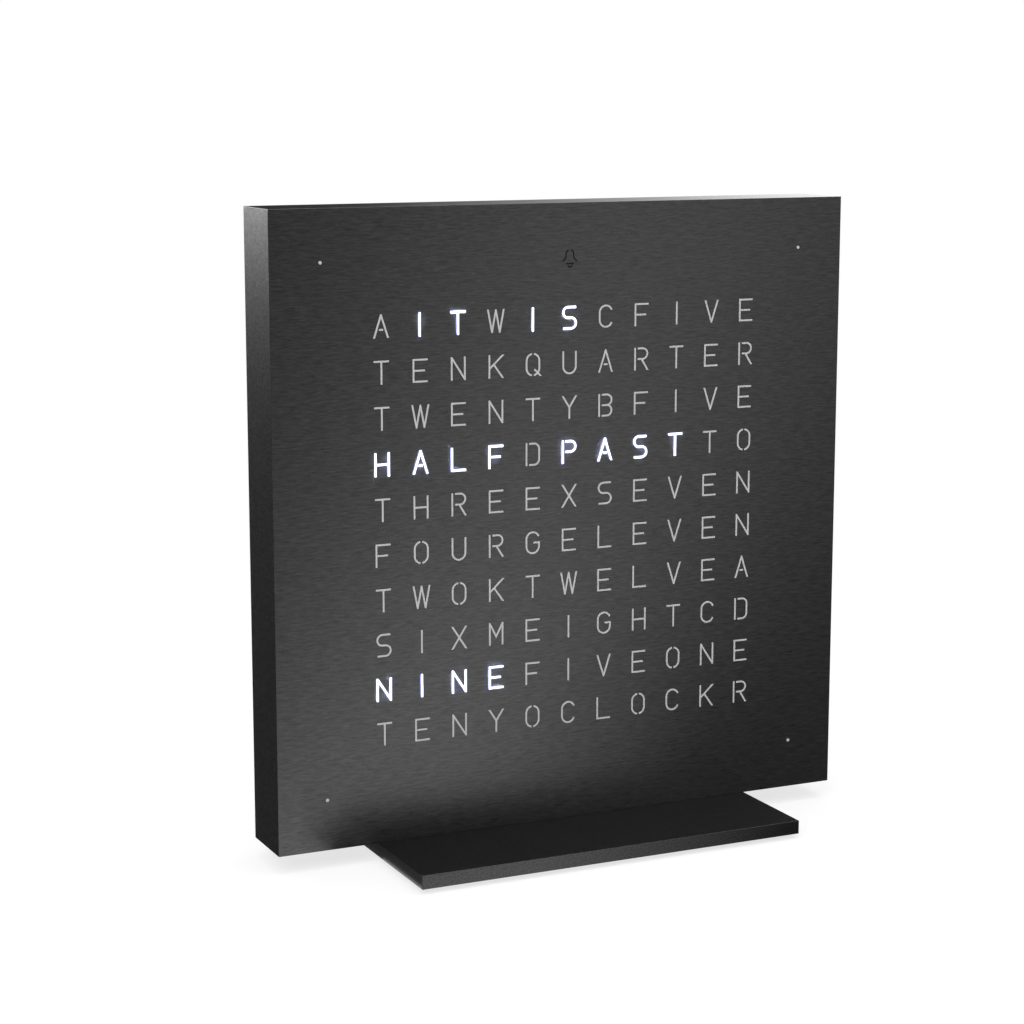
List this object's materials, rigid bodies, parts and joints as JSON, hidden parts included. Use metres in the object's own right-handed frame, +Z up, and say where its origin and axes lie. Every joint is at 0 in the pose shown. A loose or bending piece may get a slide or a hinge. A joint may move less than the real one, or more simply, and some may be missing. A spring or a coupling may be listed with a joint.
{
  "type": "word clock",
  "caption": "Free-standing word clock: a flat square black steel case with stencil-cut letters lit from behind, on a rectangular base plate.",
  "frame": {"origin": "on the surface that the clock stands on, under the middle of the base plate", "axes": "+Z up, -Y the way the face looks, +X right as seen from the front"},
  "size_m": [0.135, 0.07, 0.139],
  "materials": {
    "face_steel": "stainless sheet, long horizontal brush lines, black coating",
    "case_steel": "stainless sheet, fine grain, black coating",
    "base_steel": "steel plate, fine matt black powder coat",
    "opal_plastic": "opal acrylic that passes the light of the diodes",
    "smoked_plastic": "smoked polycarbonate",
    "grid_plastic": "black moulded ABS",
    "white_board": "glass-fibre board, white solder mask",
    "green_board": "glass-fibre board, green solder mask",
    "led_body": "white diode body with phosphor",
    "chip_body": "moulded epoxy",
    "zinc_steel": "zinc-plated steel",
    "black_screw_steel": "black oxide steel",
    "insert_brass": "turned brass",
    "spring_bronze": "phosphor bronze strip",
    "can_metal": "drawn metal can",
    "cell_steel": "nickel-plated steel",
    "cover_plastic": "black ABS, fine spark-eroded texture",
    "key_plastic": "black ABS, smooth satin",
    "plunger_plastic": "red-brown nylon",
    "inlet_plastic": "black nylon",
    "pin_metal": "nickel-flashed brass",
    "socket_plastic": "natural nylon",
    "lead_red": "soft insulation",
    "lead_black": "soft insulation",
    "foot_rubber": "matt rubber"
  },
  "bodies": {
    "case": {"front_plate": "face_steel", "side_frame": "case_steel", "frame_posts": "zinc_steel", "letter_diffuser": "opal_plastic", "alarm_window": "smoked_plastic", "light_grid": "grid_plastic", "led_board": "white_board", "word_leds": "led_body", "minute_leds": "led_body", "alarm_led": "led_body", "light_sensor": "chip_body", "led_drivers": "chip_body", "panel_screws": "zinc_steel", "chassis": "grid_plastic", "touch_spring": "spring_bronze", "board_link": "chip_body", "controller_board": "green_board", "controller_screws": "zinc_steel", "microcontroller": "chip_body", "clock_crystal": "can_metal", "capacitors": "can_metal", "voltage_regulator": "chip_body", "sounder": "chip_body", "cell_holder": "chip_body", "backup_cell": "cell_steel", "cell_clip": "cell_steel", "key_switches": "chip_body", "power_inlet": "inlet_plastic", "inlet_pin": "pin_metal", "inlet_nut": "zinc_steel", "power_socket": "socket_plastic", "power_lead_red": "lead_red", "power_lead_black": "lead_black", "rear_cover": "cover_plastic", "cover_screws": "black_screw_steel", "base_plate": "base_steel", "base_inserts": "insert_brass", "base_screws": "black_screw_steel", "rubber_feet": "foot_rubber"},
    "key_mode": {"key_mode": "key_plastic", "plunger_mode": "plunger_plastic"},
    "key_minus": {"key_minus": "key_plastic", "plunger_minus": "plunger_plastic"},
    "key_plus": {"key_plus": "key_plastic", "plunger_plus": "plunger_plastic"},
    "key_alarm": {"key_alarm": "key_plastic", "plunger_alarm": "plunger_plastic"}
  },
  "joints": [
    {"name": "mode_press", "type": "slide", "parent": "case", "child": "key_mode", "axis": [0, -1, 0], "range_m": [0, 0.0005], "stiffness_N_per_m": 3000, "springref_m": -0.0002},
    {"name": "minus_press", "type": "slide", "parent": "case", "child": "key_minus", "axis": [0, -1, 0], "range_m": [0, 0.0005], "stiffness_N_per_m": 3000, "springref_m": -0.0002},
    {"name": "plus_press", "type": "slide", "parent": "case", "child": "key_plus", "axis": [0, -1, 0], "range_m": [0, 0.0005], "stiffness_N_per_m": 3000, "springref_m": -0.0002},
    {"name": "alarm_press", "type": "slide", "parent": "case", "child": "key_alarm", "axis": [0, -1, 0], "range_m": [0, 0.0005], "stiffness_N_per_m": 3000, "springref_m": -0.0002}
  ]
}
